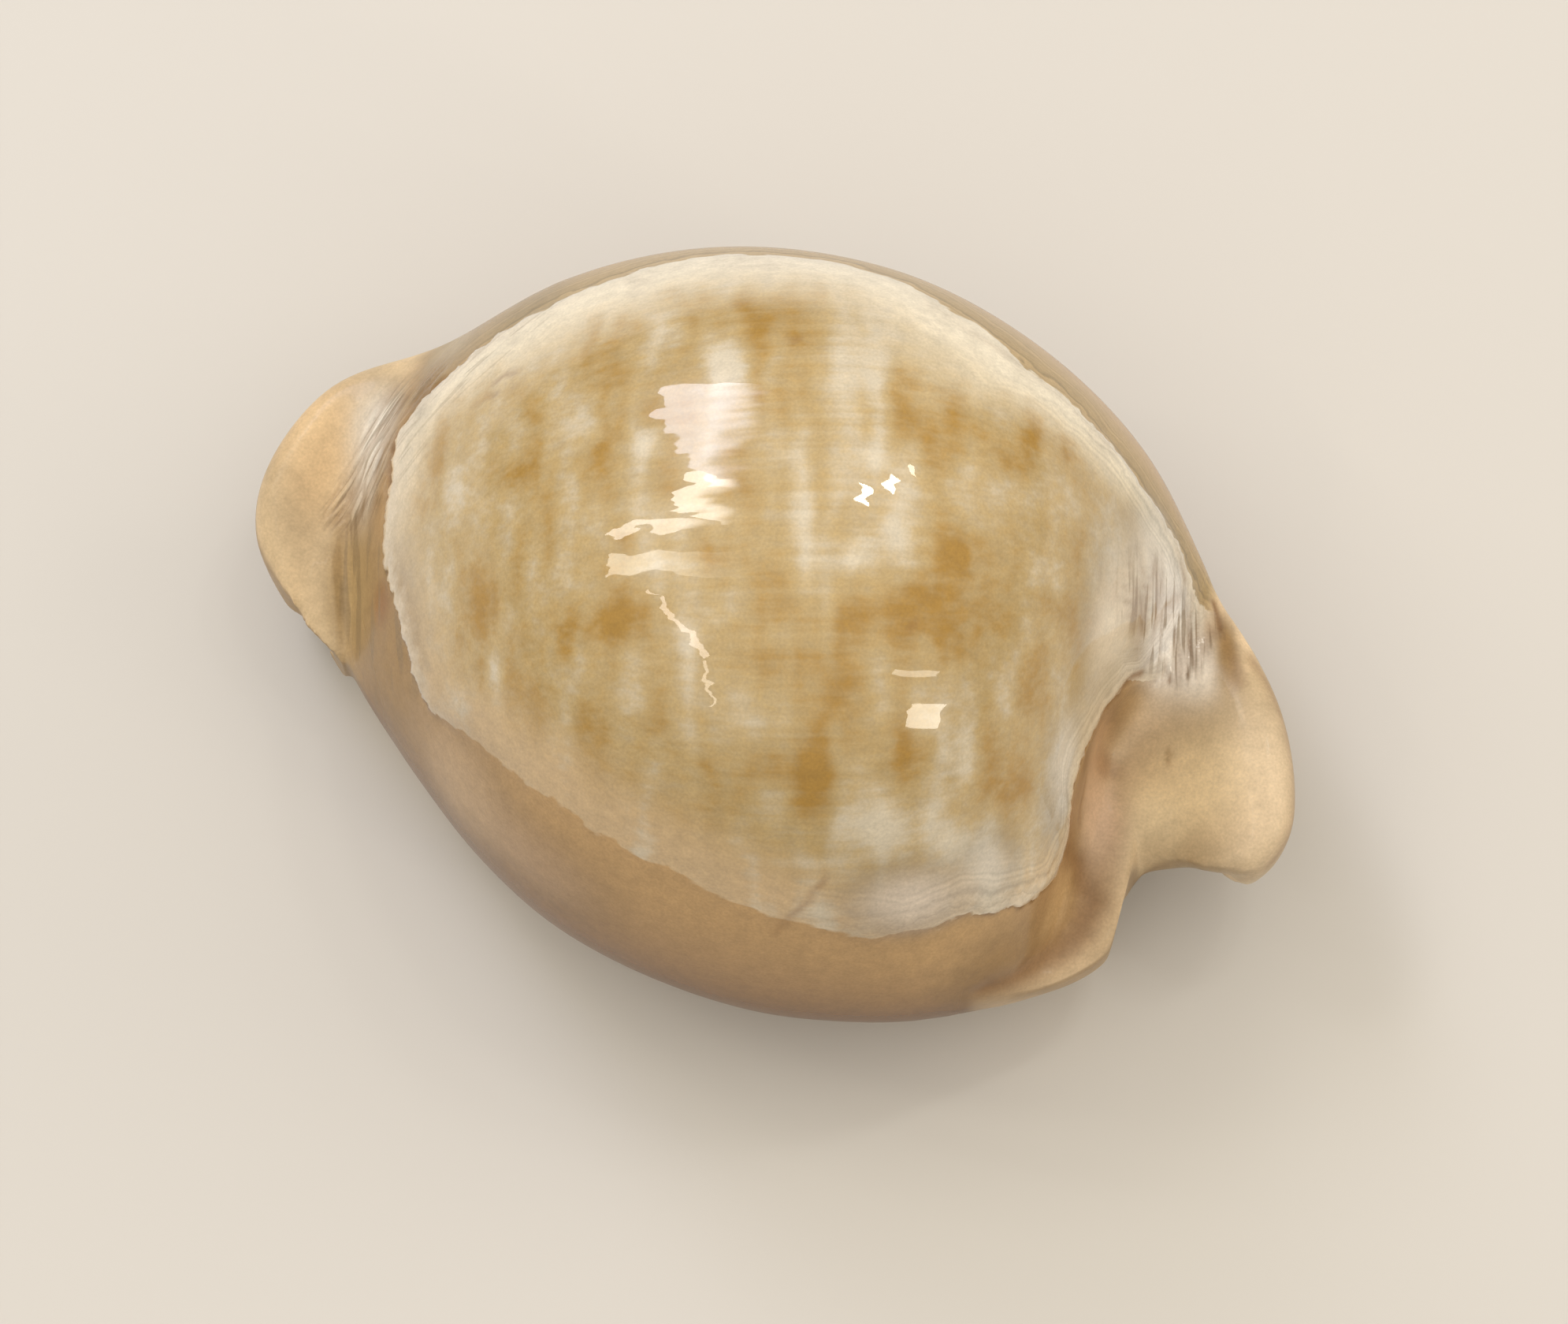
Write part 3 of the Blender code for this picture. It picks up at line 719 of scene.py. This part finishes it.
# Patterns in the enamel: (place, turn, size in mm along the turned line, size across it, detail, roughness).
PATTERNS = {
    # Growth bands 3 mm wide run across the strokes, and patches 7 mm wide break them into blotches.
    "bands": ("wandering", STROKE_TURN, 3.0, 11.0, 1.0, 0.5),
    "patches": ("wandering", 0.0, 7.0, 7.0, 2.0, 0.5),
    # Mottling 1.3 mm wide frays the blotches' edges.
    "mottle": ("place", 0.0, 1.3, 1.3, 3.0, 0.6),
    # Streaks of the mantle's strokes, 0.7 mm wide, run along the back.
    "streaks": ("place", STROKE_TURN, 20.0, 0.7, 2.0, 0.5),
    # Strokes 0.9 mm wide tilt the gloss.
    "strokes": ("place", STROKE_TURN, 14.0, 0.9, 1.0, 0.5),
    # Grains lighten and darken it a little. They are drawn a quarter of a millimetre wide, so that they show.
    "grain": ("place", 0.0, 0.25, 0.25, 1.0, 0.5),
}

# How much the marks and each pattern add to the tone that sets the blotches and the clouds.
TONE_WEIGHTS = {"mark": 0.5, "bands": 1.2, "patches": 1.1, "mottle": 0.38, "streaks": 0.42}

# Growth lines lie this far apart in millimetres, and wander by up to this many times as much.
GROWTH_SPACING = 0.7
GROWTH_WANDER = 3.0

# The coat's edge is ragged over this height, drawn out along the shell.
RAGGEDNESS = 1.2

# Fine lines run on for this length, start where their pattern falls below the first of these numbers, and are
# whole below the second.
FINE_LINE_LENGTH = 6.0
FINE_LINE_LIMITS = (0.47, 0.36)

# Zones of the enamel and shades of its patterns, changing smoothly or evenly: (what each reads, from, to, and
# the values at these two if they aren't 0 and 1). Places, heights above the coat's edge and distances past
# the foot are in millimetres.
SMOOTH_ZONES = {
    "middle": ("above_coat_edge", 2.0, 9.0),
    "rim": ("above_coat_edge", 9.0, 2.0),
    "blotched": ("tone", 1.53, 2.05),
    "cloudy": ("tone", 1.62, 0.95),
    "lit_side": ("y", -24.0, 12.0),
    "coated": ("ragged", 0.35, 0.75),
    # How far the surface faces down sets the painted shade of the low flanks and of the ends' rims.
    "turned_up": ("facing_up", -0.12, 0.45),
    "turned_down": ("facing_up", 0.45, 0.12, 0.0, 0.8),
    "outer_side": ("y", 2.0, 15.0),
    "pale_outer_side": ("y", 2.0, 15.0, 0.0, 0.6),
    "strip": ("above_coat_edge", -13.0, -2.0),
    "lined": ("above_coat_edge", -7.0, -2.0, 0.15, 1.0),
    "flanged": ("past_foot", -1.0, 1.8),
    "on_dome": ("past_foot", 0.5, -2.0),
    "near_hollow": ("past_rear_foot", 7.0, 0.0),
    "past_dome": ("past_rear_foot", -1.5, 0.5),
    "at_ends": ("from_middle", 20.0, 29.0, 0.0, 0.75),
    "near_edge": ("ragged", 3.6, 0.9),
    "beside_edge": ("above_coat_edge", 9.0, 3.0, 0.0, 0.55),
    "low": ("z", 6.0, 2.0),
    # The ends were polished less than the back, and the rear half's gloss is the more even one.
    "roughness": ("past_foot", -3.0, 2.0, 0.25, 0.42),
    "end_gloss": ("past_foot", -3.0, 2.0, 1.0, 0.12),
    "unevenness": ("x", -6.0, 2.0, 1.0, 0.5),
}
EVEN_ZONES = {
    "rim_lines": ("growth", 0.3, 0.7, 0.95, 1.035),
    "deep_lines": ("growth", 0.35, 0.65, 0.72, 1.1),
    "at_rear": ("x", 10.0, 24.0),
    "clouding": ("mottle", 0.25, 0.75, 0.9, 1.1),
    "graining": ("grain", 0.0, 1.0, 0.84, 1.16),
    "side_gloss": ("coated", 0.0, 1.0, 0.12, 1.0),
}

# Colours in the order that they are laid over the one before: (colour, zones that say together how strongly).
# The cream rim is laid lighter towards the outer side over its tan, as painted light and shade.
BACK_LAYERS = (
    ("rim_of_back", "lit_side"), ("back", "middle"), ("clouds", "cloudy"), ("blotches", "blotched", "middle"),
)
# The flanks' own colours are laid where they face up, over the painted shade of the low flanks.
FLANK_LAYERS = (("flanks", "upper"), ("outer_flanks", "strip", "outer_side"))
# The ends' rims are painted browner where they turn down, as painted shade.
END_LAYERS = (("ends", "flanged"), ("hollow", "near_hollow", "past_dome"), ("rims", "turned_down", "flanged"))
# At the two ends the coat's edge is chalky white.
CHALK_LAYERS = (("chalk", "at_ends", "near_edge", "coated", "on_dome"),)
# The creases and the overhang get their painted shade and the marks their dark colour, then the low base its
# own.
LAST_LAYERS = (("creases", "crease"), ("base", "low"))

# How far the strokes tilt the gloss along the shell, across it and upwards.
GLOSS_TILT = (0.15, 0.035, 0.035)

# A hard, clear coat over soft colour: aragonite's index of refraction is 1.53, and the coat's is 1.5.
GLOSS = {"IOR": 1.53, "Specular IOR Level": 0.2, "Coat IOR": 1.5, "Coat Roughness": 0.02}


class COWRIE_OT_enamel(bpy.types.Operator):
    """Gives the shell its glazed, blotched enamel"""

    bl_idname = "cowrie.enamel"
    bl_label = "Shell Enamel"

    def execute(self, context):
        colours = context.scene.cowrie_enamel
        # Aragonite enamel, laid down wet in thin coats and never worn: a hard, clear gloss over soft colour.
        material = bpy.data.materials.new("aragonite_shell_enamel")
        material.use_nodes = True
        tree = material.node_tree
        fields = self.read_surface(tree)
        self.grow_patterns(tree, fields)
        self.mark_zones(tree, fields)
        back, flank = self.paint_sides(tree, fields, colours)
        ends = self.paint_ends(tree, fields, colours, back, flank)
        whole = self.draw_fine_lines(tree, fields, colours, ends)
        self.glaze(tree, fields, self.lay_colours(tree, fields, colours, whole, LAST_LAYERS))

        shell = bpy.data.objects["glazed_shell"]
        shell.data.materials.clear()
        shell.data.materials.append(material)
        return {"FINISHED"}

    def read_surface(self, tree):
        """Reads the place on the shell in millimetres, how far it faces up, and the numbers kept there."""
        coordinates = add_node(tree, "TexCoord", {}, {}).outputs
        place = add_node(tree, "VectorMath", SCALE, {0: coordinates["Object"], "Scale": 1 / MM})
        sides = add_node(tree, "SeparateXYZ", {}, {"Vector": place}).outputs
        facing = add_node(tree, "SeparateXYZ", {}, {"Vector": coordinates["Normal"]}).outputs
        fields = {"place": place, "x": sides["X"], "y": sides["Y"], "z": sides["Z"], "facing_up": facing["Z"]}
        for name in KEPT_VALUES:
            fields[name] = add_node(tree, "Attribute", {"attribute_name": name}, {}).outputs["Fac"]
        fields["past_foot"] = add_node(
            tree, "Math", {"operation": "MAXIMUM"},
            {0: fields["past_front_foot"], 1: fields["past_rear_foot"]},
        )
        fields["from_middle"] = add_node(tree, "Math", {"operation": "ABSOLUTE"}, {0: fields["x"]})
        return fields

    def grow_patterns(self, tree, fields):
        """Adds the patterns, the blotches' tone, the growth lines and the coat's ragged edge."""
        place = fields["place"]
        wander = add_node(tree, "TexNoise", {}, {"Vector": place, "Scale": 1 / WANDER_WIDTH, "Detail": 1.0})
        shift = add_node(tree, "VectorMath", SUBTRACT, {0: wander.outputs["Color"], 1: NOISE_MIDDLE})
        shift = add_node(tree, "VectorMath", SCALE, {0: shift, "Scale": WANDER_REACH})
        fields["wandering"] = add_node(tree, "VectorMath", ADD, {0: place, 1: shift})
        for name, (start, turn, length, width, detail, roughness) in PATTERNS.items():
            stretched = add_node(
                tree, "Mapping", STRETCHED,
                {"Vector": fields[start], "Rotation": (0.0, 0.0, turn), "Scale": (length, width, width)},
            )
            fields[name] = add_node(
                tree, "TexNoise", {},
                {"Vector": stretched, "Scale": 1.0, "Detail": detail, "Roughness": roughness},
            )

        tone = 0.0
        for name, weight in TONE_WEIGHTS.items():
            tone = add_node(tree, "Math", MULTIPLY_ADD, {0: fields[name], 1: weight, 2: tone})
        fields["tone"] = tone

        # The growth lines run beside the coat's edge, where the mantle's edge stood still.
        high = fields["above_coat_edge"]
        steps = add_node(tree, "Math", {"operation": "DIVIDE"}, {0: high, 1: GROWTH_SPACING})
        steps = add_node(tree, "Math", MULTIPLY_ADD, {0: wander, 1: GROWTH_WANDER, 2: steps})
        fields["growth"] = add_node(
            tree, "TexNoise", {"noise_dimensions": "1D"}, {"W": steps, "Scale": 1.0, "Detail": 1.0}
        )
        fields["ragged"] = add_node(
            tree, "Math", MULTIPLY_ADD, {0: fields["streaks"], 1: RAGGEDNESS, 2: high}
        )

    def mark_zones(self, tree, fields):
        """Adds the zones and shades, each as a number over the surface."""
        for zones, settings in ((SMOOTH_ZONES, SMOOTH), (EVEN_ZONES, {})):
            for name, (field, *limits) in zones.items():
                limits = dict(zip(("From Min", "From Max", "To Min", "To Max"), limits))
                fields[name] = add_node(tree, "MapRange", settings, {"Value": fields[field], **limits})
        # The painted shade of the low flanks is lighter on the outer side, where it turns under.
        fields["upper"] = add_node(
            tree, "Math", {"operation": "MAXIMUM"}, {0: fields["turned_up"], 1: fields["pale_outer_side"]}
        )

    def all_of(self, tree, fields, zones):
        """What the zones say together: each one's number times the others'."""
        share = fields[zones[0]]
        for zone in zones[1:]:
            share = add_node(tree, "Math", MULTIPLY, {0: share, 1: fields[zone]})
        return share

    def lay_colours(self, tree, fields, colours, under, layers):
        """Lays colours over another one in turn."""
        for name, *zones in layers:
            share = self.all_of(tree, fields, zones)
            over = linear(getattr(colours, name))
            under = add_node(tree, "Mix", MIX_COLOURS, {0: share, 6: under, 7: over})
        return under

    def shade_lines(self, tree, fields, under, lines, *zones):
        """Darkens and lightens a colour by growth lines where the zones say."""
        share = self.all_of(tree, fields, zones)
        shade = add_node(tree, "Mix", {}, {0: share, 2: 1.0, 3: fields[lines]})
        return add_node(tree, "VectorMath", SCALE, {0: under, "Scale": shade})

    def paint_sides(self, tree, fields, colours):
        """Paints the blotched back and the flanks below the last coat, with their growth lines and painted
        light and shade.
        """
        back = self.lay_colours(tree, fields, colours, linear(colours.shaded_rim), BACK_LAYERS)
        back = self.shade_lines(tree, fields, back, "rim_lines", "rim")
        flank = self.lay_colours(tree, fields, colours, linear(colours.shaded_low_flanks), FLANK_LAYERS)
        flank = self.shade_lines(tree, fields, flank, "deep_lines", "lined", "outer_side")
        return back, flank

    def paint_ends(self, tree, fields, colours, back, flank):
        """Joins back and flanks at the coat's edge, and paints the ends, local colours, painted light and
        shade, chalk and ripples.
        """
        sides = add_node(tree, "Mix", MIX_COLOURS, {0: fields["coated"], 6: flank, 7: back})
        ends = self.lay_colours(tree, fields, colours, sides, END_LAYERS)
        stains = add_node(tree, "Attribute", {"attribute_name": "stains"}, {}).outputs
        stained = add_node(tree, "Mix", MIX_COLOURS, {0: stains["Alpha"], 6: ends, 7: stains["Color"]})
        chalked = self.lay_colours(tree, fields, colours, stained, CHALK_LAYERS)
        return self.shade_lines(
            tree, fields, chalked, "deep_lines", "beside_edge", "at_rear", "coated", "on_dome"
        )

    def draw_fine_lines(self, tree, fields, colours, under):
        """Draws the fine lines of the folds and the rim."""
        start, whole = FINE_LINE_LIMITS
        for zone, direction, spacing, strength in FINE_LINES:
            stretched = add_node(
                tree, "Mapping", STRETCHED,
                {
                    "Vector": fields["place"], "Rotation": (0.0, 0.0, math.radians(direction)),
                    "Scale": (spacing, FINE_LINE_LENGTH, FINE_LINE_LENGTH),
                },
            )
            lines = add_node(tree, "TexNoise", {}, {"Vector": stretched, "Scale": 1.0, "Detail": 1.0})
            dark = add_node(
                tree, "MapRange", SMOOTH,
                {"Value": lines, "From Min": start, "From Max": whole, "To Max": strength},
            )
            share = add_node(tree, "Math", MULTIPLY, {0: dark, 1: fields[zone]})
            over = linear(colours.fine_lines)
            under = add_node(tree, "Mix", MIX_COLOURS, {0: share, 6: under, 7: over})
        return under

    def glaze(self, tree, fields, whole):
        """Grains the colour, and adds a gloss that the strokes tilt a little, to tear reflections' edges."""
        grain = self.all_of(tree, fields, ("graining", "clouding"))
        colour = add_node(tree, "VectorMath", SCALE, {0: whole, "Scale": grain})

        strokes = fields["strokes"].outputs["Color"]
        tilt = add_node(tree, "VectorMath", SUBTRACT, {0: strokes, 1: NOISE_MIDDLE})
        tilt = add_node(tree, "VectorMath", MULTIPLY, {0: tilt, 1: GLOSS_TILT})
        tilt = add_node(tree, "VectorMath", SCALE, {0: tilt, "Scale": fields["unevenness"]})
        facing = add_node(tree, "NewGeometry", {}, {}).outputs["Normal"]
        facing = add_node(tree, "VectorMath", ADD, {0: facing, 1: tilt})
        facing = add_node(tree, "VectorMath", {"operation": "NORMALIZE"}, {0: facing})
        coat = add_node(
            tree, "Math", {"operation": "MINIMUM"}, {0: fields["end_gloss"], 1: fields["side_gloss"]}
        )
        inputs = tree.nodes["Principled BSDF"].inputs
        for name, node in (
            ("Base Color", colour), ("Normal", facing), ("Coat Normal", facing),
            ("Roughness", fields["roughness"]), ("Coat Weight", coat),
        ):
            tree.links.new(node.outputs[0], inputs[name])
        for name, value in GLOSS.items():
            inputs[name].default_value = value


# The studio: the floor's width, the room's light at the horizon and overhead, and where the camera looks.
FLOOR_WIDTH = 4.0
ROOM_LIGHT = (0.34, 1.10)
ROOM_COLOUR = "#FBF3E6"
LOOK_HEIGHT = 0.4 * CREST_HEIGHT
VIEW_SHIFT = (0.0055, -0.028)

# A slanted blind covers a light's low corner up to this share of its second side, with an edge this soft.
BLIND_HEIGHT = 0.6
BLIND_SOFTNESS = 0.03


class COWRIE_OT_stage(bpy.types.Operator):
    """Makes the pale floor, the soft lights and the camera"""

    bl_idname = "cowrie.stage"
    bl_label = "Stage"

    def execute(self, context):
        settings = context.scene.cowrie_stage
        bpy.ops.object.select_all(action="DESELECT")
        bpy.ops.mesh.primitive_plane_add(size=FLOOR_WIDTH, location=(0.0, 0.0, 0.0))
        floor = context.active_object
        floor.name = "floor"
        # Matt paper scatters all the light that it returns.
        paper = bpy.data.materials.new("matt_paper")
        paper.use_nodes = True
        surface = paper.node_tree.nodes["Principled BSDF"]
        surface.inputs["Base Color"].default_value = linear(settings.floor_colour)
        surface.inputs["Roughness"].default_value = 0.9
        floor.data.materials.append(paper)

        for name, light in LIGHTS.items():
            self.add_light(name, *light)

        # The room is a third as bright at the horizon as overhead.
        world = bpy.data.worlds.new("room")
        context.scene.world = world
        world.use_nodes = True
        tree = world.node_tree
        horizon, overhead = ROOM_LIGHT
        direction = add_node(tree, "TexCoord", {}, {}).outputs["Generated"]
        upwards = add_node(tree, "SeparateXYZ", {}, {"Vector": direction}).outputs["Z"]
        strength = add_node(tree, "MapRange", {}, {"Value": upwards, "To Min": horizon, "To Max": overhead})
        background = tree.nodes["Background"]
        background.inputs["Color"].default_value = linear(ROOM_COLOUR)
        tree.links.new(strength.outputs[0], background.inputs["Strength"])

        view = bpy.data.cameras.new("camera")
        camera = bpy.data.objects.new("camera", view)
        context.scene.collection.objects.link(camera)
        back = Vector((
            math.sin(settings.azimuth) * math.cos(settings.elevation),
            -math.cos(settings.azimuth) * math.cos(settings.elevation),
            math.sin(settings.elevation),
        ))
        camera.location = Vector((0.0, 0.0, LOOK_HEIGHT)) + back * settings.distance
        camera.rotation_mode = "QUATERNION"
        camera.rotation_quaternion = (-back).to_track_quat("-Z", "Y")
        view.sensor_width = 36.0
        view.lens = settings.lens
        view.shift_x, view.shift_y = VIEW_SHIFT
        view.clip_start = 0.01
        context.scene.camera = camera
        context.scene.view_settings.view_transform = "Standard"
        return {"FINISHED"}

    def add_light(self, name, place, first_side, size, power, colour, slant, fade):
        """Adds a soft light that is turned to the shell."""
        lamp = bpy.data.lights.new(name, "AREA")
        lamp.shape = "RECTANGLE"
        lamp.size, lamp.size_y = size
        lamp.energy = power
        lamp.color = linear(colour)[:3]
        light = bpy.data.objects.new(name, lamp)
        outward = Vector(place).normalized()
        upward = outward.cross(Vector(first_side)).normalized()
        turned = Matrix((upward.cross(outward), upward, outward)).transposed()
        light.location = place
        light.rotation_mode = "QUATERNION"
        light.rotation_quaternion = turned.to_quaternion()
        # The fill only lights the shade, and the gloss doesn't show it.
        light.visible_glossy = name != "fill"
        bpy.context.scene.collection.objects.link(light)
        lamp.use_nodes = True
        if fade < 1.0:
            self.fade_light(lamp.node_tree, slant, fade)

    def fade_light(self, tree, slant, fade):
        """Fades a light out along its first side, and cuts off its low corner with the slanted blind."""
        spot = add_node(tree, "NewGeometry", {}, {}).outputs["Parametric"]
        spot = add_node(tree, "SeparateXYZ", {}, {"Vector": spot}).outputs
        shown = add_node(
            tree, "MapRange", SMOOTH,
            {"Value": spot["X"], "From Min": fade, "From Max": 1.0, "To Min": 1.0, "To Max": 0.0},
        )
        if slant:
            edge = BLIND_HEIGHT * slant
            blind = add_node(tree, "Math", MULTIPLY_ADD, {0: spot["Y"], 1: slant, 2: spot["X"]})
            blind = add_node(
                tree, "MapRange", SMOOTH,
                {"Value": blind, "From Min": edge, "From Max": edge + BLIND_SOFTNESS},
            )
            shown = add_node(tree, "Math", MULTIPLY, {0: blind, 1: shown})
        tree.links.new(shown.outputs[0], tree.nodes["Emission"].inputs["Strength"])


# The tasks in the order that they run, by their settings' name in the scene: (settings, operator).
TASKS = {
    "cowrie_surface": (CowrieSurfaceSettings, COWRIE_OT_surface),
    "cowrie_enamel": (CowrieEnamelSettings, COWRIE_OT_enamel),
    "cowrie_stage": (CowrieStageSettings, COWRIE_OT_stage),
}


class COWRIE_PT_panel(bpy.types.Panel):
    """Lists the shell's pieces and their settings"""

    bl_idname = "COWRIE_PT_panel"
    bl_label = "Cowrie Shell"
    bl_space_type = "VIEW_3D"
    bl_region_type = "UI"
    bl_category = "Cowrie"

    def draw(self, context):
        for name, (settings, operator) in TASKS.items():
            box = self.layout.box()
            for setting in settings.__annotations__:
                box.prop(getattr(context.scene, name), setting)
            box.operator(operator.bl_idname)


def register():
    for name, (settings, operator) in TASKS.items():
        bpy.utils.register_class(settings)
        bpy.utils.register_class(operator)
        setattr(bpy.types.Scene, name, bpy.props.PointerProperty(type=settings))
    bpy.utils.register_class(COWRIE_PT_panel)


def unregister():
    bpy.utils.unregister_class(COWRIE_PT_panel)
    for name, (settings, operator) in reversed(TASKS.items()):
        delattr(bpy.types.Scene, name)
        bpy.utils.unregister_class(operator)
        bpy.utils.unregister_class(settings)


def main():
    register()
    bpy.ops.cowrie.surface()
    bpy.ops.cowrie.enamel()
    bpy.ops.cowrie.stage()
    bpy.context.view_layer.update()


if __name__ == "__main__":
    main()
